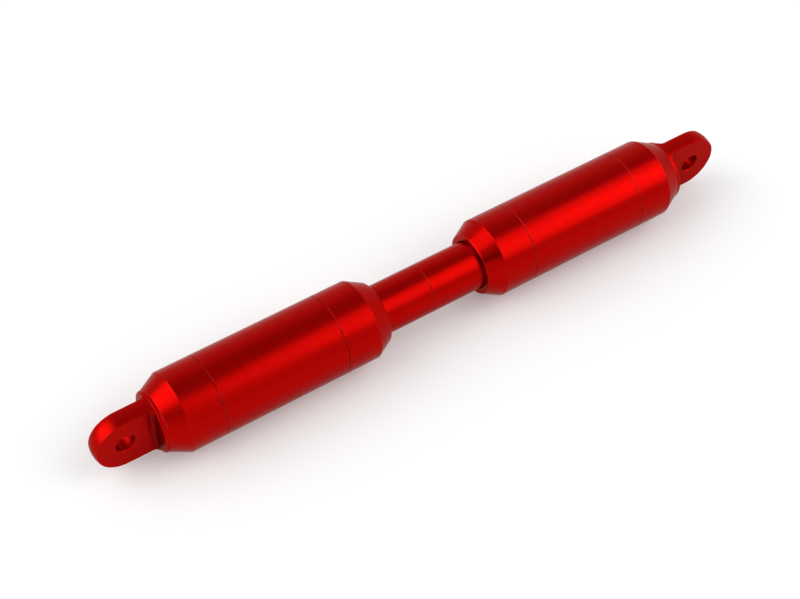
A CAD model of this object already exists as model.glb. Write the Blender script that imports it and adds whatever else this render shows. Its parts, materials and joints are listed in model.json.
import json
import math

import bpy
from mathutils import Matrix, Vector


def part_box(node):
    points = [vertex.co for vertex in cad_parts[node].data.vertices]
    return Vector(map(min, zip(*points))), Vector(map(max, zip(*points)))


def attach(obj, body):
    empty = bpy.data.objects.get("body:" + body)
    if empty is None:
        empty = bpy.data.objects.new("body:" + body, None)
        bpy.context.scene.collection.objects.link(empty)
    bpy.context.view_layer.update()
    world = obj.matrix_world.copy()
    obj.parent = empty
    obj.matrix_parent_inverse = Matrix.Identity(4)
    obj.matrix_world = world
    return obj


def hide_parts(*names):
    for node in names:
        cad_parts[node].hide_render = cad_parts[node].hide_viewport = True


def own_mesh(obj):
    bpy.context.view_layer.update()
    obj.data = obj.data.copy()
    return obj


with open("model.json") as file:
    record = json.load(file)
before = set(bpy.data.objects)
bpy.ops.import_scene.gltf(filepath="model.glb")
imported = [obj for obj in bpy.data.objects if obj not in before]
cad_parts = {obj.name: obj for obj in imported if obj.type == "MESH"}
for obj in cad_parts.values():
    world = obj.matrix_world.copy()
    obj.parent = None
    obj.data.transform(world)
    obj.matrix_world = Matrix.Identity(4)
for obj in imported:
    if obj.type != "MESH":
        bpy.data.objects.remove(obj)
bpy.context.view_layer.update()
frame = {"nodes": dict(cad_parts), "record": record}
eyes = {mount["name"]: Vector(mount["pos_m"]) for mount in frame["record"]["mounts"]}
middle = (eyes["lower_eye"] + eyes["upper_eye"]) / 2
print("frame loaded:", len(frame["nodes"]), "CAD nodes")

# the studio, in metres and degrees
viewValues = {
    "lens": 80.764,
    "sensorWidth": 36,
    "place": (-0.18281, -0.4893, 0.72014),
    "forward": (0.36941, 0.5222, -0.76866),
    "up": (0.41311, 0.64866, 0.63921),
    "nearest": 0.01,
}
floorValues = {
    "height": -0.022,  # the pods lie on the floor
    "size": 30,
    "colour": (0.76, 0.76, 0.76, 1),
    "roughness": 0.9,
    "glow": 0.13,
}
# sine of the height above the horizon, and brightness there
skyValues = {
    "low": (0.45, 0.93),
    "high": (0.95, 0.5),
}
# a soft dark spot in the sky, for the bright metal to mirror; core and rim are half angles
darkSpotValues = {"azimuth": -40, "elevation": 38, "core": 4, "rim": 13, "level": 0.05}
# azimuth counts from the front towards the upper end, radius is half the angle that the lamp fills
# each lamp has a brighter core, a little nearer so that both are seen
lamps = {
    "keyLamp": {"azimuth": 58.5, "elevation": 40, "distance": 8, "radius": 28.5, "level": 1.32},
    "keyCore": {"azimuth": 58.5, "elevation": 40, "distance": 7.9, "radius": 16, "level": 0.8},
    "rimLamp": {"azimuth": -113.5, "elevation": 37, "distance": 8, "radius": 31.5, "level": 1.62},
    "rimCore": {"azimuth": -113.5, "elevation": 37, "distance": 7.9, "radius": 17, "level": 0.5},
}


def makeCamera(values):
    forward = Vector(values["forward"]).normalized()
    right = forward.cross(Vector(values["up"])).normalized()
    up = right.cross(forward)
    data = bpy.data.cameras.new("stillCamera")
    data.lens = values["lens"]
    data.sensor_width = values["sensorWidth"]
    data.sensor_fit = "HORIZONTAL"
    data.clip_start = values["nearest"]
    camera = bpy.data.objects.new("stillCamera", data)
    turn = Matrix((right, up, -forward)).transposed().to_4x4()
    camera.matrix_world = Matrix.Translation(values["place"]) @ turn
    bpy.context.scene.collection.objects.link(camera)
    bpy.context.scene.camera = camera


def makeFloor(values):
    bpy.ops.object.select_all(action="DESELECT")
    bpy.ops.mesh.primitive_plane_add(size=values["size"], location=(0, 0, values["height"]))
    floor = bpy.context.object
    floor.name = "studioFloor"
    material = bpy.data.materials.new("floorPaper")
    material.use_nodes = True
    nodes, links = material.node_tree.nodes, material.node_tree.links
    paper = nodes["Principled BSDF"]
    paper.inputs["Base Color"].default_value = values["colour"]
    paper.inputs["Roughness"].default_value = values["roughness"]
    paper.inputs["Specular IOR Level"].default_value = 0
    paper.inputs["Emission Color"].default_value = (1, 1, 1, 1)
    # a little light of its own, for the camera and for what metal mirrors
    path = nodes.new("ShaderNodeLightPath")
    seen = path.outputs["Is Camera Ray"]
    for ray in ("Is Glossy Ray", "Is Transmission Ray"):
        either = nodes.new("ShaderNodeMath")
        either.operation = "MAXIMUM"
        links.new(seen, either.inputs[0])
        links.new(path.outputs[ray], either.inputs[1])
        seen = either.outputs[0]
    glow = nodes.new("ShaderNodeMath")
    glow.operation = "MULTIPLY"
    glow.inputs[1].default_value = values["glow"]
    links.new(seen, glow.inputs[0])
    links.new(glow.outputs[0], paper.inputs["Emission Strength"])
    floor.data.materials.append(material)


# the direction of a lamp or a spot, seen from the strut
def wayTo(values):
    azimuth, elevation = math.radians(values["azimuth"]), math.radians(values["elevation"])
    return Vector((
        math.sin(azimuth) * math.cos(elevation),
        -math.cos(azimuth) * math.cos(elevation),
        math.sin(elevation),
    ))


def makeSky(values, spot):
    world = bpy.data.worlds.new("studioSky")
    world.use_nodes = True
    bpy.context.scene.world = world
    nodes, links = world.node_tree.nodes, world.node_tree.links
    coords = nodes.new("ShaderNodeTexCoord")
    split = nodes.new("ShaderNodeSeparateXYZ")
    ramp = nodes.new("ShaderNodeValToRGB")
    links.new(coords.outputs["Generated"], split.inputs[0])
    links.new(split.outputs["Z"], ramp.inputs[0])
    facing = nodes.new("ShaderNodeVectorMath")
    facing.operation = "DOT_PRODUCT"
    facing.inputs[1].default_value = wayTo(spot)
    links.new(coords.outputs["Generated"], facing.inputs[0])
    soften = nodes.new("ShaderNodeMapRange")
    soften.interpolation_type = "SMOOTHSTEP"
    soften.inputs["From Min"].default_value = math.cos(math.radians(spot["rim"]))
    soften.inputs["From Max"].default_value = math.cos(math.radians(spot["core"]))
    links.new(facing.outputs["Value"], soften.inputs["Value"])
    shade = nodes.new("ShaderNodeMix")
    shade.data_type = "RGBA"
    links.new(soften.outputs["Result"], shade.inputs["Factor"])
    links.new(ramp.outputs["Color"], shade.inputs[6])
    shade.inputs[7].default_value = (spot["level"], spot["level"], spot["level"], 1)
    links.new(shade.outputs[2], nodes["Background"].inputs["Color"])
    ramp.color_ramp.interpolation = "EASE"
    for stop, end in zip(ramp.color_ramp.elements, ("low", "high")):
        stop.position, level = values[end]
        stop.color = (level, level, level, 1)


def makeLamp(name, values):
    way = wayTo(values)
    radius = values["distance"] * math.tan(math.radians(values["radius"]))
    data = bpy.data.lights.new(name, "AREA")
    data.shape = "DISK"
    data.size = 2 * radius
    data.energy = values["level"] * (math.pi * radius) ** 2  # gives the lamp's face that level
    lamp = bpy.data.objects.new(name, data)
    lamp.location = middle + way * values["distance"]
    lamp.rotation_euler = way.to_track_quat("Z", "Y").to_euler()
    lamp.visible_camera = False
    bpy.context.scene.collection.objects.link(lamp)


bpy.context.scene.view_settings.view_transform = "Standard"
makeCamera(viewValues)
makeFloor(floorValues)
makeSky(skyValues, darkSpotValues)
for name, values in lamps.items():
    makeLamp(name, values)
print("studio: camera, floor, sky and", len(lamps), "lamps")


# nodes by kind, with their place in the node editor
def addNode(tree, kind, column, row, **settings):
    node = tree.nodes.new("ShaderNode" + kind)
    node.location = (column * 190, -row * 210)
    for name, value in settings.items():
        setattr(node, name, value)
    return node


def feed(tree, socket, value):
    if isinstance(value, bpy.types.NodeSocket):
        tree.links.new(value, socket)
    else:
        socket.default_value = value


def addMath(tree, operation, first, second, column, row, clamp=False):
    node = addNode(tree, "Math", column, row, operation=operation, use_clamp=clamp)
    feed(tree, node.inputs[0], first)
    feed(tree, node.inputs[1], second)
    return node.outputs[0]


def addNoise(tree, scale, detail, column, row, vector=None, along=None):
    node = addNode(tree, "TexNoise", column, row, noise_dimensions="1D" if along else "3D")
    feed(tree, node.inputs["Scale"], scale)
    node.inputs["Detail"].default_value = detail
    if along:
        tree.links.new(along, node.inputs["W"])
    if vector:
        tree.links.new(vector, node.inputs["Vector"])
    return node.outputs["Fac"]


def addRange(tree, value, low, high, column, row, toLow=0, toHigh=1):
    node = addNode(tree, "MapRange", column, row)
    for socket, given in zip(node.inputs, (value, low, high, toLow, toHigh)):
        feed(tree, socket, given)
    return node.outputs["Result"]


def addBlend(tree, first, second, mask, column, row):
    node = addNode(tree, "Mix", column, row, data_type="RGBA")
    feed(tree, node.inputs["Factor"], mask)
    feed(tree, node.inputs[6], first)
    feed(tree, node.inputs[7], second)
    return node.outputs[2]


def startGroup(name, inputs, outputs):
    tree = bpy.data.node_groups.new(name, "ShaderNodeTree")
    for label, value in inputs.items():
        socket = tree.interface.new_socket(label, in_out="INPUT", socket_type="NodeSocketFloat")
        socket.default_value = value
    for label in outputs:
        tree.interface.new_socket(label, in_out="OUTPUT", socket_type="NodeSocketFloat")
    return tree, tree.nodes.new("NodeGroupInput").outputs, tree.nodes.new("NodeGroupOutput").inputs


def addGroup(tree, group, column, row, **inputs):
    node = addNode(tree, "Group", column, row, node_tree=group)
    for label, value in inputs.items():
        feed(tree, node.inputs[label], value)
    return node.outputs


# lathe marks round the strut's axis, and rings on the faces square to it
turnedMarkValues = {"radiusShare": 0.5, "markDetail": 2, "bandScale": 0.04, "bandDetail": 3}


def makeTurnedMarks(values):
    tree, given, result = startGroup("turnedMarks", {"Pitch": 0.0003}, ("Height", "Bands"))
    place = addNode(tree, "TexCoord", 1, 1).outputs["Object"]
    split = addNode(tree, "SeparateXYZ", 2, 1)
    feed(tree, split.inputs[0], place)
    across = addMath(tree, "POWER", split.outputs["Y"], 2, 3, 1)
    upright = addMath(tree, "POWER", split.outputs["Z"], 2, 3, 2)
    radius = addMath(tree, "SQRT", addMath(tree, "ADD", across, upright, 4, 1), 0, 5, 1)
    path = addMath(tree, "MULTIPLY_ADD", radius, values["radiusShare"], 6, 1)
    feed(tree, path.node.inputs[2], split.outputs["X"])
    turns = addMath(tree, "DIVIDE", path, given["Pitch"], 7, 1)
    bands = addNoise(tree, values["bandScale"], values["bandDetail"], 8, 2, along=turns)
    feed(tree, result["Height"], addNoise(tree, 1, values["markDetail"], 8, 1, along=turns))
    feed(tree, result["Bands"], bands)
    return tree


# arcs that a face mill leaves as it runs along the strut
millMarkValues = {"markDetail": 1}


def makeMillMarks(values):
    tree, given, result = startGroup("millMarks", {"Pitch": 0.0004, "Cutter": 0.025}, ("Height",))
    place = addNode(tree, "TexCoord", 1, 1).outputs["Object"]
    split = addNode(tree, "SeparateXYZ", 2, 1)
    feed(tree, split.inputs[0], place)
    cutter = addMath(tree, "POWER", given["Cutter"], 2, 3, 1)
    across = addMath(tree, "POWER", split.outputs["Z"], 2, 3, 2)
    reach = addMath(tree, "SQRT", addMath(tree, "SUBTRACT", cutter, across, 4, 1), 0, 5, 1)
    path = addMath(tree, "ADD", split.outputs["X"], reach, 6, 1)
    passes = addMath(tree, "DIVIDE", path, given["Pitch"], 7, 1)
    feed(tree, result["Height"], addNoise(tree, 1, values["markDetail"], 8, 1, along=passes))
    return tree


# outer edges where handling has rubbed the finish, in patches
edgeWearValues = {"samples": 6, "patchDetail": 3, "patchRange": (0.35, 0.7)}


def makeEdgeWear(values):
    inputs = {"Radius": 0.0004, "Amount": 3, "Patches": 160}
    tree, given, result = startGroup("edgeWear", inputs, ("Mask",))
    rounded = addNode(tree, "Bevel", 1, 1, samples=values["samples"])
    feed(tree, rounded.inputs["Radius"], given["Radius"])
    turned = addNode(tree, "VectorMath", 2, 1, operation="DOT_PRODUCT")
    feed(tree, turned.inputs[0], rounded.outputs[0])
    feed(tree, turned.inputs[1], addNode(tree, "NewGeometry", 1, 2).outputs["Normal"])
    edge = addMath(tree, "SUBTRACT", 1, turned.outputs["Value"], 3, 1, clamp=True)
    place = addNode(tree, "TexCoord", 1, 3).outputs["Object"]
    cloud = addNoise(tree, given["Patches"], values["patchDetail"], 3, 2, vector=place)
    patches = addRange(tree, cloud, *values["patchRange"], 4, 2)
    rubbed = addMath(tree, "MULTIPLY", edge, patches, 5, 1)
    feed(tree, result["Mask"], addMath(tree, "MULTIPLY", rubbed, given["Amount"], 6, 1, clamp=True))
    return tree


# hollow corners of one piece, where the dye settles deeper, or the gaps between pieces
hollowValues = {"samples": 8, "openRange": (0.92, 0.77)}


def makeHollows(name, onePiece, values):
    tree, given, result = startGroup(name, {"Reach": 0.005}, ("Mask",))
    openness = addNode(tree, "AmbientOcclusion", 1, 1, samples=values["samples"], only_local=onePiece)
    feed(tree, openness.inputs["Distance"], given["Reach"])
    feed(tree, result["Mask"], addRange(tree, openness.outputs["AO"], *values["openRange"], 2, 1))
    return tree


# faint smears from hands and cloths
smearValues = {"detail": 5, "range": (0.3, 0.75)}


def makeSmears(values):
    tree, given, result = startGroup("smears", {"Scale": 30}, ("Mask",))
    place = addNode(tree, "TexCoord", 1, 1).outputs["Object"]
    smear = addNoise(tree, given["Scale"], values["detail"], 2, 1, vector=place)
    feed(tree, result["Mask"], addRange(tree, smear, *values["range"], 3, 1))
    return tree


# fine grain of a coated, moulded or sintered surface
grainValues = {"detail": 2, "speckRange": (0.58, 0.66)}


def makeGrain(values):
    tree, given, result = startGroup("grain", {"Scale": 4000}, ("Height", "Specks"))
    place = addNode(tree, "TexCoord", 1, 1).outputs["Object"]
    height = addNoise(tree, given["Scale"], values["detail"], 2, 1, vector=place)
    feed(tree, result["Height"], height)
    feed(tree, result["Specks"], addRange(tree, height, *values["speckRange"], 3, 1))
    return tree


turnedMarks = makeTurnedMarks(turnedMarkValues)
millMarks = makeMillMarks(millMarkValues)
edgeWear = makeEdgeWear(edgeWearValues)
corners = makeHollows("corners", True, hollowValues)
gaps = makeHollows("gaps", False, hollowValues)
smears = makeSmears(smearValues)
grain = makeGrain(grainValues)
print("shader groups: turned marks, mill marks, edge wear, corners, gaps, smears, grain")


# what every finish starts from
def startMaterial(name, metallic, edgeTint=(1, 1, 1, 1)):
    material = bpy.data.materials.new(name)
    material.use_nodes = True
    shader = material.node_tree.nodes["Principled BSDF"]
    shader.inputs["Metallic"].default_value = metallic
    shader.inputs["Specular Tint"].default_value = edgeTint
    return material, material.node_tree, shader


def addBump(tree, shader, height, depth, column, row):
    bump = addNode(tree, "Bump", column, row)
    bump.inputs["Strength"].default_value = 1
    bump.inputs["Distance"].default_value = depth
    feed(tree, bump.inputs["Height"], height)
    feed(tree, shader.inputs["Normal"], bump.outputs[0])


# a metal cut on the lathe: marks, smears, rubbed edges and dark gaps
def makeTurnedMetal(name, values):
    material, tree, shader = startMaterial(name, 1, values["edgeTint"])
    marks = addGroup(tree, turnedMarks, -4, 2, Pitch=values["pitch"])
    wear = addGroup(tree, edgeWear, -4, 0, Radius=values["edge"], Amount=values["wear"])["Mask"]
    smear = addGroup(tree, smears, -4, 1, Scale=values["smears"])["Mask"]
    gap = addGroup(tree, gaps, -4, -1, Reach=values["gapReach"])["Mask"]
    tone = addBlend(tree, values["colour"], values["deepColour"], marks["Bands"], -3, 0)
    rubbed = addBlend(tree, tone, values["wornColour"], wear, -2, 0)
    feed(tree, shader.inputs["Base Color"], addBlend(tree, rubbed, values["gapColour"], gap, -1, 0))
    feed(tree, shader.inputs["Roughness"], addRange(tree, smear, 0, 1, -2, 1, *values["roughness"]))
    addBump(tree, shader, marks["Height"], values["depth"], -2, 2)
    return material


turnedRed = makeTurnedMetal("redAnodisedTurned", {
    "colour": (0.41, 0.0018, 0.0012, 1),
    "edgeTint": (0.74, 0.66, 0.64, 1),
    "deepColour": (0.38, 0.0015, 0.001, 1),
    "wornColour": (0.98, 0.05, 0.045, 1),
    "gapColour": (0.03, 0.0001, 0.0001, 1),
    "gapReach": 0.0004,
    "roughness": (0.24, 0.3),
    "pitch": 0.00022,
    "depth": 0.0000008,
    "edge": 0.00025,
    "wear": 16,
    "smears": 34,
})
machinedAluminium = makeTurnedMetal("machinedAluminium", {
    "colour": (0.78, 0.785, 0.8, 1),
    "edgeTint": (1, 1, 1, 1),
    "deepColour": (0.7, 0.705, 0.72, 1),
    "wornColour": (0.88, 0.885, 0.9, 1),
    "gapColour": (0.3, 0.3, 0.31, 1),
    "gapReach": 0.0005,
    "roughness": (0.24, 0.36),
    "pitch": 0.0003,
    "depth": 0.000004,
    "edge": 0.0003,
    "wear": 3,
    "smears": 60,
})
hardChrome = makeTurnedMetal("hardChrome", {
    "colour": (0.79, 0.8, 0.82, 1),
    "edgeTint": (1, 1, 1, 1),
    "deepColour": (0.75, 0.76, 0.79, 1),
    "wornColour": (0.86, 0.87, 0.88, 1),
    "gapColour": (0.4, 0.4, 0.42, 1),
    "gapReach": 0.0005,
    "roughness": (0.04, 0.09),
    "pitch": 0.00006,
    "depth": 0.0000002,
    "edge": 0.0002,
    "wear": 2,
    "smears": 50,
})


# the lug: turned round its rim and milled on its flats
def makeLugRed(name, values):
    material, tree, shader = startMaterial(name, 1, values["edgeTint"])
    turned = addGroup(tree, turnedMarks, -6, 2, Pitch=values["pitch"])["Height"]
    milled = addGroup(tree, millMarks, -6, 3, Pitch=values["millPitch"], Cutter=values["cutter"])
    facing = addNode(tree, "SeparateXYZ", -6, 4)
    feed(tree, facing.inputs[0], addNode(tree, "TexCoord", -7, 4).outputs["Normal"])
    square = addMath(tree, "ABSOLUTE", facing.outputs["Y"], 0, -5, 4)
    flat = addMath(tree, "GREATER_THAN", square, values["flatFrom"], -4, 4)
    milledPart = addMath(tree, "MULTIPLY", milled["Height"], flat, -3, 3)
    turnedPart = addMath(tree, "MULTIPLY", turned, addMath(tree, "SUBTRACT", 1, flat, -4, 3), -3, 2)
    wear = addGroup(tree, edgeWear, -4, 0, Radius=values["edge"], Amount=values["wear"])["Mask"]
    smear = addGroup(tree, smears, -4, 1, Scale=values["smears"])["Mask"]
    corner = addGroup(tree, corners, -4, -1, Reach=values["cornerReach"])["Mask"]
    tone = addBlend(tree, values["colour"], values["cornerColour"], corner, -3, 0)
    feed(tree, shader.inputs["Base Color"], addBlend(tree, tone, values["wornColour"], wear, -2, 0))
    feed(tree, shader.inputs["Roughness"], addRange(tree, smear, 0, 1, -2, 1, *values["roughness"]))
    addBump(tree, shader, addMath(tree, "ADD", milledPart, turnedPart, -2, 2), values["depth"], -1, 2)
    return material


lugRed = makeLugRed("redAnodisedMilled", {
    "colour": (0.4, 0.002, 0.0015, 1),
    "cornerColour": (0.07, 0.0003, 0.0003, 1),
    "edgeTint": (0.68, 0.58, 0.56, 1),
    "wornColour": (0.5, 0.04, 0.03, 1),
    "roughness": (0.3, 0.38),
    "pitch": 0.00022,
    "millPitch": 0.0006,
    "cutter": 0.03,
    "flatFrom": 0.98,
    "cornerReach": 0.0044,
    "depth": 0.0000015,
    "edge": 0.0003,
    "wear": 3,
    "smears": 40,
})


# zinc with its passivation, which shifts from blue to straw
def makeZinc(name, values):
    material, tree, shader = startMaterial(name, 1)
    marks = addGroup(tree, turnedMarks, -4, 2, Pitch=values["pitch"])
    cloud = addGroup(tree, smears, -4, 1, Scale=values["clouds"])["Mask"]
    wear = addGroup(tree, edgeWear, -4, 0, Radius=values["edge"], Amount=values["wear"])["Mask"]
    tone = addBlend(tree, values["blue"], values["straw"], cloud, -3, 0)
    feed(tree, shader.inputs["Base Color"], addBlend(tree, tone, values["bare"], wear, -2, 0))
    roughness = addRange(tree, marks["Bands"], 0, 1, -2, 1, *values["roughness"])
    feed(tree, shader.inputs["Roughness"], roughness)
    addBump(tree, shader, marks["Height"], values["depth"], -2, 2)
    return material


zincSteel = makeZinc("zincSteel", {
    "blue": (0.5, 0.54, 0.6, 1),
    "straw": (0.62, 0.6, 0.5, 1),
    "bare": (0.7, 0.7, 0.7, 1),
    "roughness": (0.26, 0.42),
    "pitch": 0.00025,
    "depth": 0.000003,
    "clouds": 110,
    "edge": 0.0003,
    "wear": 3,
})


# a finish with grain and specks: powder coat, rubber, filled plastic, sintered bronze, foam
def makeGrained(name, metallic, values):
    material, tree, shader = startMaterial(name, metallic)
    speckle = addGroup(tree, grain, -4, 2, Scale=values["grain"])
    wear = addGroup(tree, edgeWear, -4, 0, Radius=values["edge"], Amount=values["wear"])["Mask"]
    smear = addGroup(tree, smears, -4, 1, Scale=values["smears"])["Mask"]
    tone = addBlend(tree, values["colour"], values["specks"], speckle["Specks"], -3, 0)
    feed(tree, shader.inputs["Base Color"], addBlend(tree, tone, values["wornColour"], wear, -2, 0))
    feed(tree, shader.inputs["Roughness"], addRange(tree, smear, 0, 1, -2, 1, *values["roughness"]))
    addBump(tree, shader, speckle["Height"], values["depth"], -2, 2)
    return material


powderCoat = makeGrained("springPowderCoat", 0, {
    "colour": (0.018, 0.019, 0.021, 1),
    "specks": (0.03, 0.031, 0.034, 1),
    "wornColour": (0.09, 0.09, 0.09, 1),
    "roughness": (0.3, 0.42),
    "grain": 1500,
    "depth": 0.00002,
    "smears": 60,
    "edge": 0.0002,
    "wear": 2,
})
groundSteel = makeTurnedMetal("groundSteel", {
    "colour": (0.5, 0.5, 0.5, 1),
    "edgeTint": (1, 1, 1, 1),
    "deepColour": (0.42, 0.42, 0.43, 1),
    "wornColour": (0.6, 0.6, 0.6, 1),
    "gapColour": (0.2, 0.2, 0.21, 1),
    "gapReach": 0.0005,
    "roughness": (0.26, 0.4),
    "pitch": 0.0003,
    "depth": 0.000003,
    "edge": 0.0002,
    "wear": 2,
    "smears": 80,
})
sealRubber = makeGrained("sealRubber", 0, {
    "colour": (0.011, 0.011, 0.012, 1),
    "specks": (0.02, 0.02, 0.02, 1),
    "wornColour": (0.05, 0.05, 0.05, 1),
    "roughness": (0.45, 0.62),
    "grain": 5000,
    "depth": 0.00001,
    "smears": 120,
    "edge": 0.0002,
    "wear": 1.5,
})
slideBand = makeGrained("slideBand", 0, {
    "colour": (0.42, 0.36, 0.26, 1),
    "specks": (0.24, 0.17, 0.09, 1),
    "wornColour": (0.55, 0.5, 0.4, 1),
    "roughness": (0.36, 0.5),
    "grain": 3500,
    "depth": 0.000008,
    "smears": 90,
    "edge": 0.0002,
    "wear": 1.5,
})
dryBush = makeGrained("dryBush", 1, {
    "colour": (0.5, 0.31, 0.14, 1),
    "specks": (0.28, 0.16, 0.07, 1),
    "wornColour": (0.65, 0.42, 0.2, 1),
    "roughness": (0.34, 0.5),
    "grain": 4200,
    "depth": 0.00001,
    "smears": 90,
    "edge": 0.0002,
    "wear": 2,
})
bumpFoam = makeGrained("bumpFoam", 0, {
    "colour": (0.52, 0.33, 0.07, 1),
    "specks": (0.36, 0.21, 0.04, 1),
    "wornColour": (0.6, 0.42, 0.14, 1),
    "roughness": (0.7, 0.85),
    "grain": 1800,
    "depth": 0.00012,
    "smears": 70,
    "edge": 0.0004,
    "wear": 1,
})

finishes = {
    "red_anodised": turnedRed,
    "machined_aluminium": machinedAluminium,
    "hard_chrome": hardChrome,
    "zinc_steel": zincSteel,
    "spring_steel": powderCoat,
    "seal_rubber": sealRubber,
    "slide_band": slideBand,
    "dry_bush": dryBush,
    "bump_foam": bumpFoam,
}
for part in frame["record"]["subparts"]:
    skin = frame["nodes"][part["node"]].data.materials
    skin.clear()
    skin.append(lugRed if part["node"].endswith("eye_lug") else finishes[part["material_slot"]])


def selectOnly(*pieces):
    bpy.ops.object.select_all(action="DESELECT")
    for piece in pieces:
        piece.select_set(True)
    bpy.context.view_layer.objects.active = pieces[0]


def windTurns(values, fromX, turns, pitch):
    bpy.ops.object.select_all(action="DESELECT")
    bpy.ops.mesh.primitive_circle_add(
        vertices=values["wireSides"], radius=values["wire"] / 2,
        location=(fromX, 0, values["meanRadius"]), rotation=(math.pi / 2, 0, 0),
    )
    coil = bpy.context.object
    bpy.ops.object.transform_apply()
    screw = coil.modifiers.new("wind", "SCREW")
    screw.axis = "X"
    screw.angle = 2 * math.pi * turns
    screw.screw_offset = pitch * turns
    screw.steps = screw.render_steps = round(values["stepsPerTurn"] * turns)
    bpy.ops.object.modifier_apply(modifier=screw.name)
    return coil


# round wire with a closed turn at each end, ground flat
def makeSpring(values):
    low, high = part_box("lower_spring")
    ground = values["wire"] * values["groundShare"]
    endPitch = values["wire"] + values["endGap"]
    workPitch = (high.x - low.x - 2 * ground - 2 * endPitch) / values["workTurns"]
    startX = low.x + ground
    workX = startX + endPitch
    coils = [
        windTurns(values, startX, 1, endPitch),
        windTurns(values, workX, values["workTurns"], workPitch),
        windTurns(values, workX + values["workTurns"] * workPitch, 1, endPitch),
    ]
    selectOnly(*coils)
    bpy.ops.object.join()
    spring = bpy.context.object
    spring.name = "lowerCoilSpring"
    spring.data.materials.append(powderCoat)
    spring.data.materials.append(groundSteel)
    bpy.ops.object.mode_set(mode="EDIT")
    bpy.ops.mesh.select_all(action="SELECT")
    bpy.ops.mesh.remove_doubles(threshold=values["weld"])
    bpy.ops.mesh.fill_holes(sides=values["wireSides"])
    for faceX, side in ((low.x, "clear_inner"), (high.x, "clear_outer")):
        bpy.ops.mesh.select_all(action="SELECT")
        bpy.ops.mesh.bisect(plane_co=(faceX, 0, 0), plane_no=(1, 0, 0), use_fill=True, **{side: True})
        spring.active_material_index = 1  # the ground steel
        bpy.ops.object.material_slot_assign()
    bpy.ops.mesh.select_all(action="SELECT")
    bpy.ops.mesh.normals_make_consistent(inside=False)
    bpy.ops.object.mode_set(mode="OBJECT")
    bpy.ops.object.shade_smooth_by_angle(angle=math.radians(values["smoothAngle"]))
    return spring


# the upper end is the lower one turned half round about the strut's middle
def copyToUpperEnd(piece, name):
    selectOnly(piece)
    bpy.ops.object.duplicate()
    twin = bpy.context.object
    twin.name = name
    bpy.ops.object.mode_set(mode="EDIT")
    bpy.ops.mesh.select_all(action="SELECT")
    bpy.ops.transform.rotate(value=math.pi, orient_axis="Z", center_override=middle)
    bpy.ops.object.mode_set(mode="OBJECT")
    return twin


springValues = {
    "wire": 0.004,
    "meanRadius": 0.0145,
    "workTurns": 5,
    "endGap": 0.0007,
    "wireSides": 20,
    "stepsPerTurn": 64,
    "groundShare": 0.25,  # of the wire, off each end
    "weld": 0.000004,
    "smoothAngle": 50,
}
lowerSpring = makeSpring(springValues)
upperSpring = copyToUpperEnd(lowerSpring, "upperCoilSpring")
for end, spring in (("lower", lowerSpring), ("upper", upperSpring)):
    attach(spring, end + "_end")
    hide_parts(end + "_spring")
    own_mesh(spring)
print("springs: wound, ground flat and copied")


# foam moulded with round lobes and waists
def makeBumpStop(values):
    low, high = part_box("lower_bump_stop")
    outer = high.z
    waist = outer - values["waistDepth"]
    lobe = (high.x - low.x) / values["lobes"]
    rings = [(low.x, outer - values["endDraw"])]
    for count in range(values["lobes"]):
        lobeX = low.x + count * lobe
        rings += [(lobeX + lobe * share, outer) for share in values["lobeShares"]]
        last = count == values["lobes"] - 1
        rings.append((lobeX + lobe, outer - values["endDraw"] if last else waist))
    bpy.ops.object.select_all(action="DESELECT")
    bpy.ops.mesh.primitive_circle_add(
        vertices=values["sides"], radius=values["bore"],
        location=(low.x, 0, 0), rotation=(0, math.pi / 2, 0),
    )
    stop = bpy.context.object
    stop.name = "lowerBumpStop"
    bpy.ops.object.transform_apply()
    bpy.ops.object.mode_set(mode="EDIT")
    bpy.ops.mesh.select_all(action="SELECT")
    ringX, ringRadius = low.x, values["bore"]
    for nextX, nextRadius in rings + [(high.x, values["bore"]), (low.x, values["bore"])]:
        bpy.ops.mesh.extrude_edges_move(TRANSFORM_OT_translate={"value": (nextX - ringX, 0, 0)})
        growth = nextRadius / ringRadius
        bpy.ops.transform.resize(value=(1, growth, growth), center_override=(nextX, 0, 0))
        ringX, ringRadius = nextX, nextRadius
    bpy.ops.mesh.select_all(action="SELECT")
    bpy.ops.mesh.remove_doubles(threshold=values["weld"])
    bpy.ops.mesh.normals_make_consistent(inside=False)
    bpy.ops.object.mode_set(mode="OBJECT")
    soften = stop.modifiers.new("soften", "SUBSURF")
    soften.levels = soften.render_levels = values["softening"]
    bpy.ops.object.modifier_apply(modifier=soften.name)
    bpy.ops.object.shade_smooth()
    stop.data.materials.append(bumpFoam)
    return stop


bumpStopValues = {
    "lobes": 3,
    "bore": 0.00502,
    "waistDepth": 0.0016,
    "endDraw": 0.0006,
    "lobeShares": (0.22, 0.5, 0.78),
    "sides": 40,
    "weld": 0.000001,
    "softening": 2,
}
lowerStop = makeBumpStop(bumpStopValues)
upperStop = copyToUpperEnd(lowerStop, "upperBumpStop")
for end, stop in (("lower", lowerStop), ("upper", upperStop)):
    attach(stop, end + "_end")
    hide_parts(end + "_bump_stop")
print("bump stops: moulded and copied")

print("size written")
